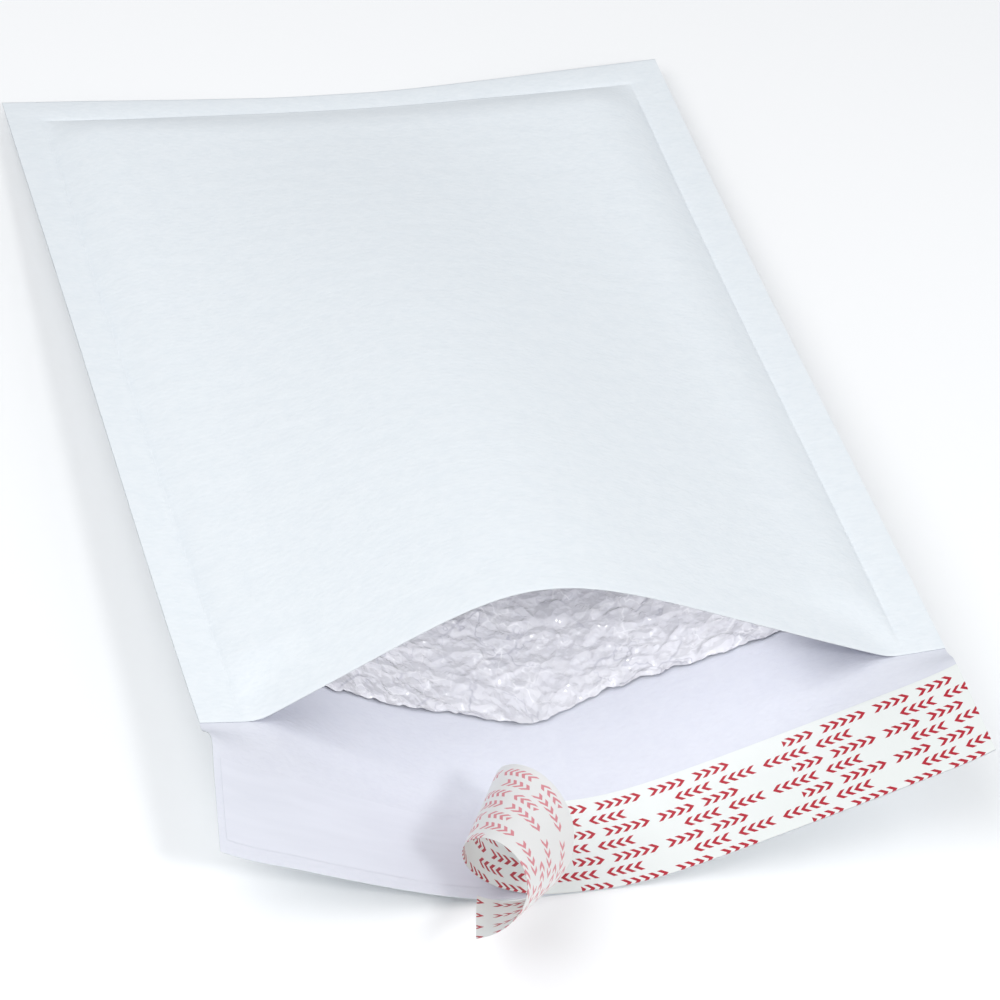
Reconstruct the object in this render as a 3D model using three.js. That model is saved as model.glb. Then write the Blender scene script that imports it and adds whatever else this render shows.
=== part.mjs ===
// A padded mailing envelope, lying open on its back: one folded sheet of white paper sealed
// along both sides, a lining of air-bubble film, and a closing flap with a band of adhesive
// under a release liner that has been peeled halfway.
//
// Millimetres. X runs across the width, Y from the mouth to the closed end, Z is up.
// The origin is on the underside of the back panel, in the middle of the strip it rests on.
//
// Every layer is laid out on the flat sheet first: u is the distance across it from its middle,
// v the distance along it from the mouth. The flap has negative v.

import * as THREE from 'three';
import { mergeVertices } from 'three/addons/utils/BufferGeometryUtils.js';

// Paper
const WIDTH = 216;
const BODY_LENGTH = 305;
const FLAP_DEPTH = 44;
const PAPER_THICKNESS = 0.25;
const SIDE_SEAL = 11.5;
const END_SEAL = 9.5;

// Lining
const FILM_THICKNESS = 0.3;
const BUBBLE_HEIGHT = 3.2;
const BUBBLE_PITCH = 14.6;
const BUBBLE_ROW_PITCH = 12.5;
const BUBBLE_TOP_SHARE = 0.62;
const LINING_RECESS = 24;
const LINING_SIDE_GAP = 8;
const LINING_WELD = 3;

// Closing flap
const ADHESIVE_WIDTH = 24;
const ADHESIVE_THICKNESS = 0.15;
const ADHESIVE_END_GAP = 2;
const LINER_WIDTH = 32;
const LINER_THICKNESS = 0.2;
const PEEL_AT = -5;

// Clearances between separate layers
const LINING_GAP = 0.35;
const STRIP_GAP = 0.25;

// The pillow that the lining gives the front panel: what is left between the bubbles of its
// two walls, and how far in from the seals and the mouth it reaches its full height
const PILLOW_SLACK = 0.8;
const PILLOW_ROUND = 10;
const PILLOW_MOUTH = 26;

// How the opened envelope bends across its width: the back panel hangs in a trough with a flat
// bottom, the front panel stands in an arch. Each has a centre line, a stretch over which it
// turns, and slopes in degrees at the flap's edge, the mouth, halfway and the closed end.
const CENTRE_SHIFT = -12;
const TROUGH_FLAT = 10;
const TROUGH_TURN = 18;
const ARCH_TURN = 23;
const TROUGH_LEFT = { flap: 21, mouth: 30, middle: 16.5, end: 3 };
const TROUGH_RIGHT = { flap: 21, mouth: 21, middle: 9, end: 4.5 };
const ARCH_LEFT = { mouth: 29, middle: 14.5, end: -TROUGH_LEFT.end };
const ARCH_RIGHT = { mouth: 22.5, middle: 14.5, end: -TROUGH_RIGHT.end };
const SEAL_SLOPE = 5;
const SEAL_FADE = 12;
const BACK_BLEND = 12;
const FRONT_BLEND = 8;

// The peeled liner: the radius that it curls to where it leaves the flap, halfway and at its
// free end, and how far its bend lines lean from straight across it, in degrees at halfway
const CURL_RADIUS = { start: 31, middle: 13.4, end: 10.9 };
const CURL_LEAN = 37;
const CURL_EASE = 10;

// Resolution
const SAMPLES_ACROSS = 108;
const SAMPLES_FLAP = 11;
const SAMPLES_BODY = 61;
const ROWS_PER_FACET = 4;
const CURL_FACET = 3.5;
const STEPS_PER_FACET = 4;
const NORMAL_REACH = 0.5;
const SAME_POINT = 1e-3;

const PAPER_COLOR = 0xf2f4f6;
const FILM_COLOR = 0xdcdce3;
const ADHESIVE_COLOR = 0xe4e6ee;
const LINER_COLOR = 0xf1e9e8;

const { degToRad, lerp, clamp } = THREE.MathUtils;
const halfWidth = WIDTH / 2;
const sealLine = halfWidth - SIDE_SEAL;
const endSealLine = BODY_LENGTH - END_SEAL;
const filmHeight = FILM_THICKNESS + BUBBLE_HEIGHT;
const pillowHeight = PAPER_THICKNESS + 2 * (LINING_GAP + filmHeight) + PILLOW_SLACK;

function ease(t) {
  const x = clamp(t, 0, 1);
  return x * x * (3 - 2 * x);
}

// A smooth curve through three values, at t = 0, 0.5 and 1
function through(first, middle, last, t) {
  return first * (1 - t) * (1 - 2 * t) + middle * 4 * t * (1 - t) + last * t * (2 * t - 1);
}

function between(low, high, steps) {
  return Array.from({ length: steps + 1 }, (_, i) => lerp(low, high, i / steps));
}

// Slopes of the panels

function bodySlope(side, v) {
  const t = clamp(v / BODY_LENGTH, 0, 1);
  return through(side.mouth, side.middle, side.end, t);
}

function troughSlope(side, v) {
  return v < 0 ? lerp(side.mouth, side.flap, -v / FLAP_DEPTH) : bodySlope(side, v);
}

function centreLine(v) {
  const t = clamp(v / BODY_LENGTH, 0, 1);
  return CENTRE_SHIFT * (1 - t * t);
}

function turned(distance, flat, turn) {
  return Math.sign(distance) * Math.tanh(Math.max(Math.abs(distance) - flat, 0) / turn);
}

// The sealed edge lies almost level at the mouth and follows the back panel elsewhere
function sealSlope(u, v) {
  const trough = troughSlope(u < 0 ? TROUGH_LEFT : TROUGH_RIGHT, v);
  const free = v < 0 ? ease(1 + v / SEAL_FADE) : 1 - ease(v / BODY_LENGTH);
  return Math.sign(u) * lerp(trough, SEAL_SLOPE, free);
}

function withSeal(slope, u, v, blend) {
  return lerp(slope, sealSlope(u, v), ease((Math.abs(u) - sealLine + blend) / blend));
}

function backSlope(u, v) {
  const distance = u - centreLine(v);
  const side = distance < 0 ? TROUGH_LEFT : TROUGH_RIGHT;
  const slope = troughSlope(side, v) * turned(distance, TROUGH_FLAT, TROUGH_TURN);
  return withSeal(slope, u, v, BACK_BLEND);
}

function frontSlope(u, v) {
  const distance = u - centreLine(v);
  const side = distance < 0 ? ARCH_LEFT : ARCH_RIGHT;
  const slope = -bodySlope(side, v) * turned(distance, 0, ARCH_TURN);
  return withSeal(slope, u, v, FRONT_BLEND);
}

// Tables of points over the sheet, read between their samples

const sampleU = between(-halfWidth, halfWidth, SAMPLES_ACROSS);
const flapSamples = between(-FLAP_DEPTH, 0, SAMPLES_FLAP).slice(0, -1);
const sampleV = [...flapSamples, ...between(0, BODY_LENGTH, SAMPLES_BODY)];

function readRow(row, u) {
  const place = clamp((u + halfWidth) / WIDTH, 0, 1) * SAMPLES_ACROSS;
  const i = Math.min(Math.floor(place), SAMPLES_ACROSS - 1);
  return lerp(row[i], row[i + 1], place - i);
}

// The cross-section that the slopes make, starting from the left edge
function crossSection(slopeOf, v) {
  const step = WIDTH / SAMPLES_ACROSS;
  const slopes = sampleU.map((u) => degToRad(slopeOf(u, v)));
  const x = [0];
  const z = [0];
  for (let i = 1; i < slopes.length; i += 1) {
    x.push(x[i - 1] + (step * (Math.cos(slopes[i - 1]) + Math.cos(slopes[i]))) / 2);
    z.push(z[i - 1] + (step * (Math.sin(slopes[i - 1]) + Math.sin(slopes[i]))) / 2);
  }
  return { x, z };
}

function backSection(v) {
  const raw = crossSection(backSlope, v);
  const centre = centreLine(v);
  const shiftX = centre - centreLine(BODY_LENGTH / 2) - readRow(raw.x, centre);
  const shiftZ = -readRow(raw.z, centre);
  return { x: raw.x.map((x) => x + shiftX), z: raw.z.map((z) => z + shiftZ) };
}

// The front panel's arch, stretched to meet the back panel on both seal lines
function archSection(v, back) {
  const raw = crossSection(frontSlope, v);
  const seals = [-sealLine, sealLine];
  const [rawLeft, rawRight] = seals.map((u) => readRow(raw.x, u));
  const [left, right] = seals.map((u) => readRow(back.x, u));
  const [liftLeft, liftRight] = seals.map((u) => readRow(back.z, u) - readRow(raw.z, u));
  const stretch = (right - left) / (rawRight - rawLeft);
  const x = [];
  const z = [];
  sampleU.forEach((u, i) => {
    const share = (u + sealLine) / (2 * sealLine);
    const inside = share > 0 && share < 1;
    const lifted = raw.z[i] + lerp(liftLeft, liftRight, share);
    x.push(inside ? left + (raw.x[i] - rawLeft) * stretch : back.x[i]);
    z.push(inside ? Math.max(lifted, back.z[i]) : back.z[i]);
  });
  return { x, z };
}

// Lengths along the sheet are kept: a stretch that climbs runs less far along Y
function withDistances(sections) {
  const last = sections.length - 1;
  const rows = sections.map((section) => ({ ...section }));
  rows[last].y = sampleU.map(() => BODY_LENGTH / 2);
  for (let k = last - 1; k >= 0; k -= 1) {
    const step = sampleV[k + 1] - sampleV[k];
    rows[k].y = sampleU.map((_, i) => {
      const dx = rows[k + 1].x[i] - rows[k].x[i];
      const dz = rows[k + 1].z[i] - rows[k].z[i];
      return rows[k + 1].y[i] - Math.sqrt(Math.max(step * step - dx * dx - dz * dz, 0));
    });
  }
  return rows;
}

function rounded(distance) {
  return 1 - (1 - clamp(distance / PILLOW_ROUND, 0, 1)) ** 2.5;
}

function pillow(u, v) {
  const inFromSeals = rounded(sealLine - Math.abs(u)) * rounded(endSealLine - v);
  return pillowHeight * inFromSeals * ease(v / PILLOW_MOUTH);
}

function isSealed(u, v) {
  return Math.abs(u) > sealLine - SAME_POINT || v > endSealLine - SAME_POINT;
}

const backRows = withDistances(sampleV.map(backSection));
const archRows = withDistances(sampleV.map((v, k) => archSection(v, backRows[k])));

function readTable(rows, u, v) {
  const next = sampleV.findIndex((sample, i) => i > 0 && sample >= v);
  const high = next < 0 ? sampleV.length - 1 : next;
  const low = high - 1;
  const share = (v - sampleV[low]) / (sampleV[high] - sampleV[low]);
  const read = (name) => lerp(readRow(rows[low][name], u), readRow(rows[high][name], u), share);
  return new THREE.Vector3(read('x'), read('y'), read('z'));
}

function backPanel(u, v) {
  return readTable(backRows, u, v);
}

function frontPanel(u, v) {
  const back = backPanel(u, v);
  if (isSealed(u, v)) {
    return back;
  }
  const front = readTable(archRows, u, v);
  const gap = Math.max(front.z - back.z, 0);
  front.z = back.z + Math.cbrt(gap ** 3 + pillow(u, v) ** 3);
  return front;
}

function normalOf(panel, u, v) {
  const low = Math.max(v - NORMAL_REACH, -FLAP_DEPTH);
  const high = Math.min(v + NORMAL_REACH, BODY_LENGTH);
  const left = Math.max(u - NORMAL_REACH, -halfWidth);
  const right = Math.min(u + NORMAL_REACH, halfWidth);
  const across = panel(right, v).sub(panel(left, v));
  const along = panel(u, high).sub(panel(u, low));
  return across.cross(along).normalize();
}

// A point lifted square off the underside of the back panel
function onBack(u, v, lift) {
  return backPanel(u, v).addScaledVector(normalOf(backPanel, u, v), lift);
}

// A point lifted square off the underside of the front panel, which lies on the back panel's
// sheet where the two are sealed
function onFront(u, v, lift) {
  const normal = normalOf(isSealed(u, v) ? backPanel : frontPanel, u, v);
  return frontPanel(u, v).addScaledVector(normal, PAPER_THICKNESS + lift);
}

// Closed bodies

class Skin {
  constructor() {
    this.positions = [];
  }

  // A face with its corners counter-clockwise from outside, or clockwise when flipped.
  // Either way it is split from its first corner.
  face(corners, flipped = false) {
    const [first, ...others] = corners;
    const rim = flipped ? others.reverse() : others;
    for (let i = 0; i + 1 < rim.length; i += 1) {
      [first, rim[i], rim[i + 1]].forEach((p) => this.positions.push(p.x, p.y, p.z));
    }
  }

  // Faces between two lines of as many points. Where a line runs along X and the next line
  // lies further along Y, they face up, or down when flipped.
  strip(line, next, flipped = false) {
    for (let i = 0; i + 1 < line.length; i += 1) {
      this.face([line[i], line[i + 1], next[i + 1], next[i]], flipped);
    }
  }

  grid(lines, flipped = false) {
    for (let k = 0; k + 1 < lines.length; k += 1) {
      this.strip(lines[k], lines[k + 1], flipped);
    }
  }

  // Faces between two lines with their own numbers of points, matched by their places
  zip(line, next, linePlaces, nextPlaces, flipped) {
    let i = 0;
    let k = 0;
    while (i + 1 < line.length || k + 1 < next.length) {
      const onLine = k + 1 === next.length
        || (i + 1 < line.length && linePlaces[i + 1] <= nextPlaces[k + 1]);
      this.face([line[i], onLine ? line[i + 1] : next[k + 1], next[k]], flipped);
      i += onLine ? 1 : 0;
      k += onLine ? 0 : 1;
    }
  }

  // A plate between two grids of as many points
  plate(lower, upper) {
    const side = (lines, i) => lines.map((line) => line.at(i));
    this.grid(lower, true);
    this.grid(upper);
    this.strip(lower[0], upper[0]);
    this.strip(lower.at(-1), upper.at(-1), true);
    this.strip(side(lower, 0), side(upper, 0), true);
    this.strip(side(lower, -1), side(upper, -1));
  }

  mesh(name, color, roughness) {
    const raw = new THREE.BufferGeometry();
    raw.setAttribute('position', new THREE.Float32BufferAttribute(this.positions, 3));
    const geometry = mergeVertices(raw, SAME_POINT);
    geometry.computeVertexNormals();
    const material = new THREE.MeshStandardMaterial({ color, roughness, metalness: 0 });
    const mesh = new THREE.Mesh(geometry, material);
    mesh.name = name;
    return mesh;
  }
}

// Facet lines that the layers share, so that their facets lie side by side

const liningEdge = sealLine - LINING_SIDE_GAP;
const liningEnd = endSealLine - LINING_SIDE_GAP;
const bubbleColumns = Math.round((2 * liningEdge) / BUBBLE_PITCH);
const bubbleRows = Math.round((liningEnd - LINING_RECESS) / BUBBLE_ROW_PITCH);
const liningU = between(-liningEdge, liningEdge, 2 * bubbleColumns);
const liningV = between(LINING_RECESS, liningEnd, bubbleRows);
const facetV = liningV.filter((_, k) => k % ROWS_PER_FACET === 0 || k === bubbleRows);

const weldOutside = liningEdge + LINING_WELD;
const weldEnd = liningEnd + LINING_WELD;
const roundingU = (weldOutside + sealLine) / 2;
const roundingV = (weldEnd + endSealLine) / 2;
const pocketU = [-sealLine, -roundingU, ...liningU, roundingU, sealLine];
const pocketV = [0, LINING_RECESS / 2, ...facetV, roundingV, endSealLine];
const sheetU = [-halfWidth, ...pocketU, halfWidth];
const bodyV = [...pocketV, BODY_LENGTH];

const linerLow = -FLAP_DEPTH;
const linerHigh = linerLow + LINER_WIDTH;
const linerMiddle = (linerLow + linerHigh) / 2;
const adhesiveLow = linerMiddle - ADHESIVE_WIDTH / 2;
const adhesiveHigh = linerMiddle + ADHESIVE_WIDTH / 2;
const linerV = [linerLow, adhesiveLow, adhesiveHigh, linerHigh];
const flapV = [...linerV, linerHigh / 2, 0];

function lay(surface, us, vs, lift) {
  return vs.map((v) => us.map((u) => surface(u, v, lift)));
}

// The folded sheet: back panel, flap and front panel, fused along both sides and the end
function paperShell() {
  const skin = new Skin();
  const underside = lay(onBack, sheetU, [...flapV, ...bodyV.slice(1)], 0);
  const flapTop = lay(onBack, sheetU, flapV, PAPER_THICKNESS);
  const pocketFloor = lay(onBack, pocketU, pocketV, PAPER_THICKNESS);
  const pocketRoof = lay(onFront, pocketU, pocketV, 0);
  const top = lay(onFront, sheetU, bodyV, PAPER_THICKNESS);
  skin.grid(underside, true);
  skin.grid(flapTop);
  skin.grid(pocketFloor);
  skin.grid(pocketRoof, true);
  skin.grid(top);

  // The flap's free edge, the closed end, and the front panel's edge over the mouth
  const mouth = flapTop.at(-1);
  skin.strip(underside[0], flapTop[0]);
  skin.strip(underside.at(-1), top.at(-1), true);
  skin.strip([mouth[0], ...pocketRoof[0], mouth.at(-1)], top[0]);

  // Both sides: one thickness along the flap, two from the mouth on
  const bodyStart = flapV.length - 1;
  [0, -1].forEach((i) => {
    const left = i === 0;
    const low = underside.map((line) => line.at(i));
    const flapHigh = flapTop.map((line) => line.at(i));
    const bodyHigh = top.map((line) => line.at(i));
    skin.strip(low.slice(0, bodyStart + 1), flapHigh, left);
    skin.strip(low.slice(bodyStart + 1), bodyHigh.slice(1), left);
    const step = [low[bodyStart], low[bodyStart + 1], bodyHigh[1], bodyHigh[0]];
    skin.face([flapHigh.at(-1), ...step], left);
  });
  return skin.mesh('paper_shell', PAPER_COLOR, 0.85);
}

// The lining is a pouch of film: its back wall lies on the back panel, its front wall under
// the front panel, and they are welded together along both sides and the end

function backFilm(u, v, depth) {
  return onBack(u, v, PAPER_THICKNESS + LINING_GAP + depth);
}

function frontFilm(u, v, depth) {
  return onFront(u, v, -LINING_GAP - depth);
}

function weld(u, v) {
  return onBack(u, v, PAPER_THICKNESS).lerp(onFront(u, v, 0), 0.5);
}

// A point of a wall between two facet lines, on the straight line that joins them
function onFacet(film, u, v, depth) {
  const high = Math.max(facetV.findIndex((line) => line >= v - SAME_POINT), 1);
  const share = (v - facetV[high - 1]) / (facetV[high] - facetV[high - 1]);
  return film(u, facetV[high - 1], depth).lerp(film(u, facetV[high], depth), share);
}

// One bubble: six points on the film, and four on its flat top
function addBubble(skin, film, near, far, u, v, flipped) {
  const [a, b, c] = near;
  const [d, e, f] = far;
  const reachU = (BUBBLE_TOP_SHARE * BUBBLE_PITCH) / 2;
  const reachV = (BUBBLE_TOP_SHARE * BUBBLE_ROW_PITCH) / 2;
  const top = (du, dv) => onFacet(film, u + du, v + dv, filmHeight);
  const [p, q] = [top(-reachU, -reachV), top(reachU, -reachV)];
  const [r, s] = [top(reachU, reachV), top(-reachU, reachV)];
  skin.face([a, b, p], flipped);
  skin.face([b, q, p], flipped);
  skin.face([b, c, q], flipped);
  skin.face([c, f, r, q], flipped);
  skin.face([f, e, r], flipped);
  skin.face([e, s, r], flipped);
  skin.face([e, d, s], flipped);
  skin.face([d, a, p, s], flipped);
  skin.face([p, q, r, s], flipped);
}

// The face of one wall that has the bubbles. Every second row is moved half a bubble along.
function addBubbleWall(skin, film, flipped) {
  const lines = liningV.map((v) => liningU.map((u) => onFacet(film, u, v, FILM_THICKNESS)));
  for (let k = 0; k < bubbleRows; k += 1) {
    const shift = k % 2;
    const v = (liningV[k] + liningV[k + 1]) / 2;
    for (let i = shift; i + 2 < liningU.length; i += 2) {
      const near = lines[k].slice(i, i + 3);
      const far = lines[k + 1].slice(i, i + 3);
      addBubble(skin, film, near, far, liningU[i + 1], v, flipped);
    }
    if (shift === 1) {
      [0, liningU.length - 2].forEach((i) => {
        skin.strip(lines[k].slice(i, i + 2), lines[k + 1].slice(i, i + 2), flipped);
      });
    }
  }

  // Plain film from the outermost bubbles to the welds
  const insideWeld = weldOutside - FILM_THICKNESS;
  const weldLeft = facetV.map((v) => weld(-insideWeld, v));
  const weldRight = facetV.map((v) => weld(insideWeld, v));
  const edgeLeft = lines.map((line) => line[0]);
  const edgeRight = lines.map((line) => line.at(-1));
  skin.zip(weldLeft, edgeLeft, facetV, liningV, !flipped);
  skin.zip(edgeRight, weldRight, liningV, facetV, !flipped);
  const near = [weldLeft[0], ...lines[0], weldRight[0]];
  const last = [weldLeft.at(-1), ...lines.at(-1), weldRight.at(-1)];
  const weldU = [-insideWeld, ...liningU, insideWeld];
  skin.strip(last, weldU.map((u) => weld(u, weldEnd - FILM_THICKNESS)), flipped);
  return near;
}

// The plain face of one wall, next to the paper
function addPlainWall(skin, film, flipped) {
  const lines = facetV.map((v) => {
    const wall = liningU.map((u) => film(u, v, 0));
    return [weld(-weldOutside, v), ...wall, weld(weldOutside, v)];
  });
  const weldU = [-weldOutside, ...liningU, weldOutside];
  lines.push(weldU.map((u) => weld(u, weldEnd)));
  skin.grid(lines, flipped);
  return lines[0];
}

function bubbleLining() {
  const skin = new Skin();
  const backPlain = addPlainWall(skin, backFilm, true);
  const backBubbles = addBubbleWall(skin, backFilm, false);
  const frontBubbles = addBubbleWall(skin, frontFilm, true);
  const frontPlain = addPlainWall(skin, frontFilm, false);
  skin.strip(backPlain, backBubbles);
  skin.strip(frontBubbles, frontPlain);
  return skin.mesh('bubble_lining', FILM_COLOR, 0.3);
}

// Adhesive and its release liner

const adhesiveLift = PAPER_THICKNESS + STRIP_GAP;
const linerLift = adhesiveLift + ADHESIVE_THICKNESS + STRIP_GAP;

function adhesiveStrip() {
  const end = halfWidth - ADHESIVE_END_GAP;
  const us = [-end, ...pocketU, end];
  const vs = [adhesiveLow, adhesiveHigh];
  const skin = new Skin();
  skin.plate(
    lay(onBack, us, vs, adhesiveLift),
    lay(onBack, us, vs, adhesiveLift + ADHESIVE_THICKNESS),
  );
  return skin.mesh('adhesive_strip', ADHESIVE_COLOR, 0.35);
}

// The peeled stretch as straight bend lines, one after another. Each step turns the strip
// about the bend line itself, which is the only way that a strip of paper bends.
function curlLines() {
  const length = halfWidth + PEEL_AT;
  const facets = Math.round(length / CURL_FACET);
  const step = length / (facets * STEPS_PER_FACET);
  const point = onBack(PEEL_AT, linerMiddle, linerLift);
  const up = normalOf(backPanel, PEEL_AT, linerMiddle);
  const ahead = backPanel(PEEL_AT - 1, linerMiddle).sub(backPanel(PEEL_AT + 1, linerMiddle));
  ahead.normalize();
  const across = new THREE.Vector3().crossVectors(ahead, up);
  const lines = [];
  for (let i = 1; i <= facets * STEPS_PER_FACET; i += 1) {
    const t = (i - 0.5) * step / length;
    const lean = degToRad(CURL_LEAN * 4 * t * (1 - t));
    const { start, middle, end } = CURL_RADIUS;
    const bend = through(1 / start, 1 / middle, 1 / end, t) * ease((t * length) / CURL_EASE);
    const axis = across.clone().multiplyScalar(Math.cos(lean));
    axis.addScaledVector(ahead, -Math.sin(lean));
    const turn = bend * step * Math.cos(lean);
    point.addScaledVector(ahead, step / 2);
    [ahead, across, up].forEach((direction) => direction.applyAxisAngle(axis, turn));
    point.addScaledVector(ahead, step / 2);
    if (i % STEPS_PER_FACET === 0) {
      lines.push({ point: point.clone(), axis, up: up.clone(), stretch: 1 / Math.cos(lean) });
    }
  }
  return lines;
}

function releaseLiner() {
  const flatU = [...sheetU.filter((u) => u > PEEL_AT + CURL_FACET), PEEL_AT].reverse();
  flatU.sort((a, b) => b - a);
  const curl = curlLines();
  const layer = (lift) => {
    const flat = flatU.map((u) => linerV.map((v) => onBack(u, v, linerLift + lift)));
    const curled = curl.map((line) => linerV.map((v) => {
      const distance = (v - linerMiddle) * line.stretch;
      const point = line.point.clone().addScaledVector(line.axis, distance);
      return point.addScaledVector(line.up, lift);
    }));
    return [...flat, ...curled];
  };
  const skin = new Skin();
  skin.plate(layer(0), layer(LINER_THICKNESS));
  return skin.mesh('release_liner', LINER_COLOR, 0.6);
}

const envelope = new THREE.Group();
envelope.name = 'padded_envelope';
envelope.add(paperShell(), bubbleLining(), adhesiveStrip(), releaseLiner());

export default envelope;
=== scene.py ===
# %% [markdown]
# # A padded envelope, opened and lying on its back
#
# The object is a mailing envelope made of one white paper sheet. The sheet is folded at the far
# end and sealed along both sides, and a pouch of air-bubble film lines it. The flap has a band
# of glue under a release liner, and the liner has been peeled halfway. This lesson builds the
# four real pieces, one after another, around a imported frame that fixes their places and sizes.

# %% Load the frame
import math
from functools import partial

import bmesh
import bpy
import numpy as np
from mathutils import Matrix, Vector, noise


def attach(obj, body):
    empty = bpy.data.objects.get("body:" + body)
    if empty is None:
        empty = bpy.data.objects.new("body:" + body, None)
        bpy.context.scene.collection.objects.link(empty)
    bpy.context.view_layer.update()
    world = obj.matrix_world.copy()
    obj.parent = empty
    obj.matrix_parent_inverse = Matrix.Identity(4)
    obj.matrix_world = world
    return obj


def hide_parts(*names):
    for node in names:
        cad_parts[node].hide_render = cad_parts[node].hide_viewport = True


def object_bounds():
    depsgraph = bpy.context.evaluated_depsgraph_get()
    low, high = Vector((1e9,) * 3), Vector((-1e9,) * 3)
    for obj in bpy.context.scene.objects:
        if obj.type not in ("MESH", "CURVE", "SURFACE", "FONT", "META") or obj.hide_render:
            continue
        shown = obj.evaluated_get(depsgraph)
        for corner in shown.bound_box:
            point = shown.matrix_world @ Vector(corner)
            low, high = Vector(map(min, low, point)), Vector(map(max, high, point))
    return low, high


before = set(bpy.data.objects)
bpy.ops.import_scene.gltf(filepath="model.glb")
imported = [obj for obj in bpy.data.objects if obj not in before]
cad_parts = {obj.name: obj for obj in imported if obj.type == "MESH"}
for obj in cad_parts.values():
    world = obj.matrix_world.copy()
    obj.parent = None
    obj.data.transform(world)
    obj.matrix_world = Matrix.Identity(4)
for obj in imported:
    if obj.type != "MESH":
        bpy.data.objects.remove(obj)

cad_low, cad_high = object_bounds()
print("frame", [round(size * 1000) for size in cad_high - cad_low], "mm")

# %% [markdown]
# ## Lay the sheet out flat, then bend it
#
# Paper, film and liner are all thin sheets, so each point of them has a place on the flat sheet:
# `u` millimetres across from the middle, and `v` millimetres along from the mouth. The flap has
# negative `v`. Bending is a function from (u, v) to a place in the scene. It could be done with
# lattices or cloth, but a function keeps lengths true and lets every piece share one bend.

# %% Sizes of the flat sheet, in millimetres
MM = 0.001
WIDTH = 216.0
BODY_LENGTH = 305.0
FLAP_DEPTH = 44.0
SIDE_SEAL = 11.5
END_SEAL = 12.0
PAPER_THICKNESS = 0.25
LINING_RECESS = 24.0
PILLOW_HEIGHT = 8.0
PILLOW_ROUND = 20.0
PILLOW_MOUTH = 26.0

half_width = WIDTH / 2
seal_line = half_width - SIDE_SEAL
end_seal_line = BODY_LENGTH - END_SEAL

# %% Small helpers for smooth changes
def ease(t):
    t = np.clip(t, 0.0, 1.0)
    return t * t * (3.0 - 2.0 * t)


def through(first, middle, last, t):
    """A smooth curve through three values, at t = 0, 0.5 and 1."""
    return first * (1 - t) * (1 - 2 * t) + middle * 4 * t * (1 - t) + last * t * (2 * t - 1)


def mix(a, b, t):
    return a + (b - a) * t


# %% [markdown]
# ## How the opened envelope bends
#
# The back panel hangs in a trough and the front panel stands up in an arch. Each is described by
# how steep it is on its two sides, at the mouth, halfway and at the closed end, and the steepness
# is added up across the width to give the cross-section.

# %% Slopes of both panels, in degrees
CENTRE_SHIFT = -12.0
TROUGH_FLAT = 10.0
TROUGH_TURN = 18.0
ARCH_TURN = 23.0
TROUGH_LEFT = {"flap": 21.0, "mouth": 30.0, "middle": 16.5, "end": 3.0}
TROUGH_RIGHT = {"flap": 21.0, "mouth": 21.0, "middle": 9.0, "end": 4.5}
ARCH_LEFT = {"flap": 29.0, "mouth": 29.0, "middle": 14.5, "end": -3.0}
ARCH_RIGHT = {"flap": 22.5, "mouth": 22.5, "middle": 14.5, "end": -4.5}
SEAL_SLOPE = 5.0
SEAL_FADE = 12.0
BACK_BLEND = 12.0
FRONT_BLEND = 8.0


def side_slope(side, v):
    body = through(side["mouth"], side["middle"], side["end"], np.clip(v / BODY_LENGTH, 0, 1))
    return np.where(v < 0, mix(side["mouth"], side["flap"], -v / FLAP_DEPTH), body)


def centre_line(v):
    return CENTRE_SHIFT * (1 - np.clip(v / BODY_LENGTH, 0, 1) ** 2)


def turned(distance, flat, turn):
    return np.sign(distance) * np.tanh(np.maximum(np.abs(distance) - flat, 0) / turn)


def seal_slope(u, v):
    trough = np.where(u < 0, side_slope(TROUGH_LEFT, v), side_slope(TROUGH_RIGHT, v))
    free = np.where(v < 0, ease(1 + v / SEAL_FADE), 1 - ease(v / BODY_LENGTH))
    return np.sign(u) * mix(trough, SEAL_SLOPE, free)


def panel_slope(u, v, left, right, flat, turn, blend, way):
    distance = u - centre_line(v)
    side = np.where(distance < 0, side_slope(left, v), side_slope(right, v))
    slope = way * side * turned(distance, flat, turn)
    return mix(slope, seal_slope(u, v), ease((np.abs(u) - seal_line + blend) / blend))


# %% [markdown]
# The slopes become a table of points, one row for each cross-section, and a smooth lookup reads
# between its points. A stretch that climbs runs less far along Y, which keeps lengths true.

# %% The table of bent points
POINTS_ACROSS = 217
POINTS_FLAP = 23
POINTS_BODY = 123
ACROSS = np.linspace(-half_width, half_width, POINTS_ACROSS)
ALONG = np.concatenate([
    np.linspace(-FLAP_DEPTH, 0, POINTS_FLAP)[:-1],
    np.linspace(0, BODY_LENGTH, POINTS_BODY),
])


def cross_section(slopes):
    step = ACROSS[1] - ACROSS[0]
    angles = np.radians(slopes)
    moves = [(part[:, 1:] + part[:, :-1]) / 2 * step for part in (np.cos(angles), np.sin(angles))]
    start = np.zeros((len(ALONG), 1))
    return [np.concatenate([start, np.cumsum(move, axis=1)], axis=1) for move in moves]


def at(rows, places):
    return np.array([np.interp(place, ACROSS, row) for row, place in zip(rows, places)])


def add_distances(x, z):
    y = np.zeros_like(x)
    y[-1] = BODY_LENGTH / 2
    for k in range(len(ALONG) - 2, -1, -1):
        step = ALONG[k + 1] - ALONG[k]
        run = step ** 2 - (x[k + 1] - x[k]) ** 2 - (z[k + 1] - z[k]) ** 2
        y[k] = y[k + 1] - np.sqrt(np.maximum(run, 0))
    return np.stack([x, y, z], axis=-1)


def back_table():
    u, v = np.meshgrid(ACROSS, ALONG)
    x, z = cross_section(panel_slope(
        u, v, TROUGH_LEFT, TROUGH_RIGHT, TROUGH_FLAT, TROUGH_TURN, BACK_BLEND, 1))
    centre = centre_line(ALONG)
    x += (centre - centre_line(BODY_LENGTH / 2) - at(x, centre))[:, None]
    z -= at(z, centre)[:, None]
    return add_distances(x, z)


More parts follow.
